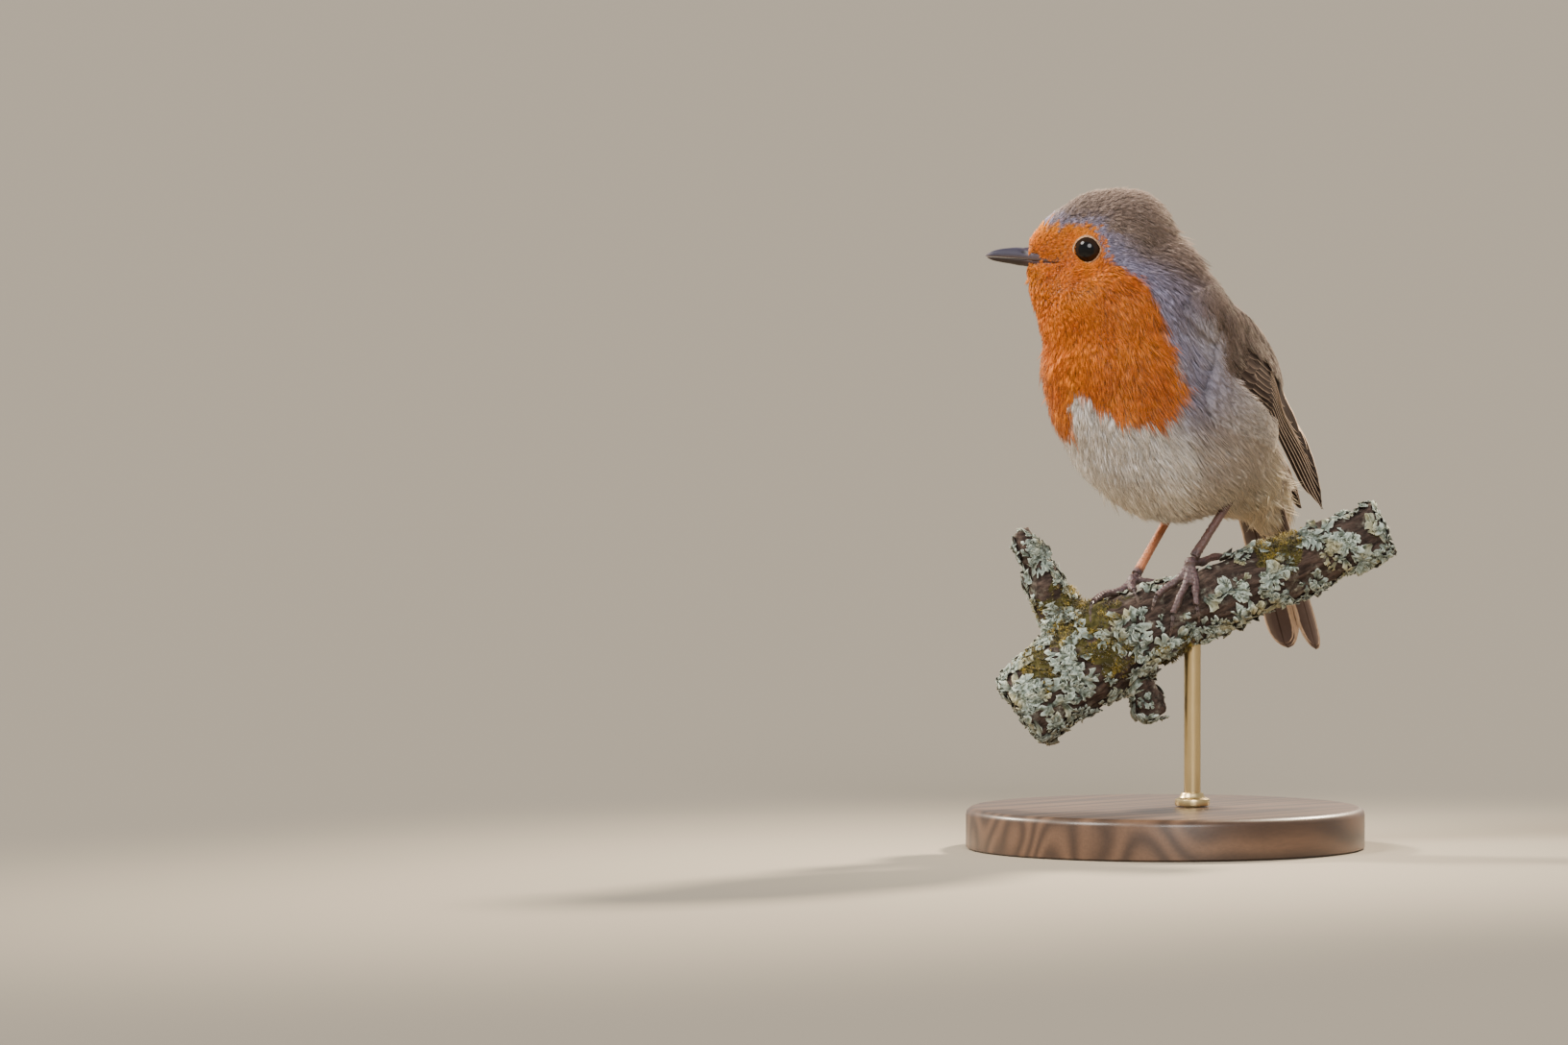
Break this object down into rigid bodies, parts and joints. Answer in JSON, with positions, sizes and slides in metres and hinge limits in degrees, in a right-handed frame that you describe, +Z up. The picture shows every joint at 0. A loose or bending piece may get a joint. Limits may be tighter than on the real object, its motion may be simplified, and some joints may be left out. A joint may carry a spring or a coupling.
{
  "type": "perched robin model",
  "caption": "Life-size still model of a European robin gripping a lichen-covered length of branch, held by a rod on a round flat display base.",
  "frame": {"origin": "centre of the underside of the stand's round base", "axes": "+Z up; -X the way the bird's trunk faces; -Y towards the bird's left side"},
  "size_m": [0.1003, 0.096, 0.1592],
  "materials": {
    "plumage": "soft feathers: orange face and breast, olive-brown back, grey band, whitish belly",
    "flight_feathers": "smooth dark brown vanes with paler olive-brown edges",
    "horn": "dark, slightly glossy horn",
    "eye": "wet gloss, almost black",
    "leg_skin": "scaly reddish brown skin",
    "bark": "rough bark under grey-green leafy lichen and olive moss",
    "stand_wood": "dark stained, satin",
    "stand_metal": "satin brass"
  },
  "bodies": {
    "root": {"head": "plumage", "neck": "plumage", "trunk": "plumage", "wing_left": "flight_feathers", "wing_right": "flight_feathers", "tail": "flight_feathers", "bill_upper": "horn", "bill_lower": "horn", "eye_left": "eye", "eye_right": "eye", "leg_left": "leg_skin", "leg_right": "leg_skin", "foot_left": "leg_skin", "foot_right": "leg_skin", "claw_left_hallux": "horn", "claw_left_inner": "horn", "claw_left_middle": "horn", "claw_left_outer": "horn", "claw_right_hallux": "horn", "claw_right_inner": "horn", "claw_right_middle": "horn", "claw_right_outer": "horn", "perch_branch": "bark", "stand_base": "stand_wood", "stand_rod": "stand_metal", "stand_ferrule": "stand_metal"}
  },
  "joints": []
}
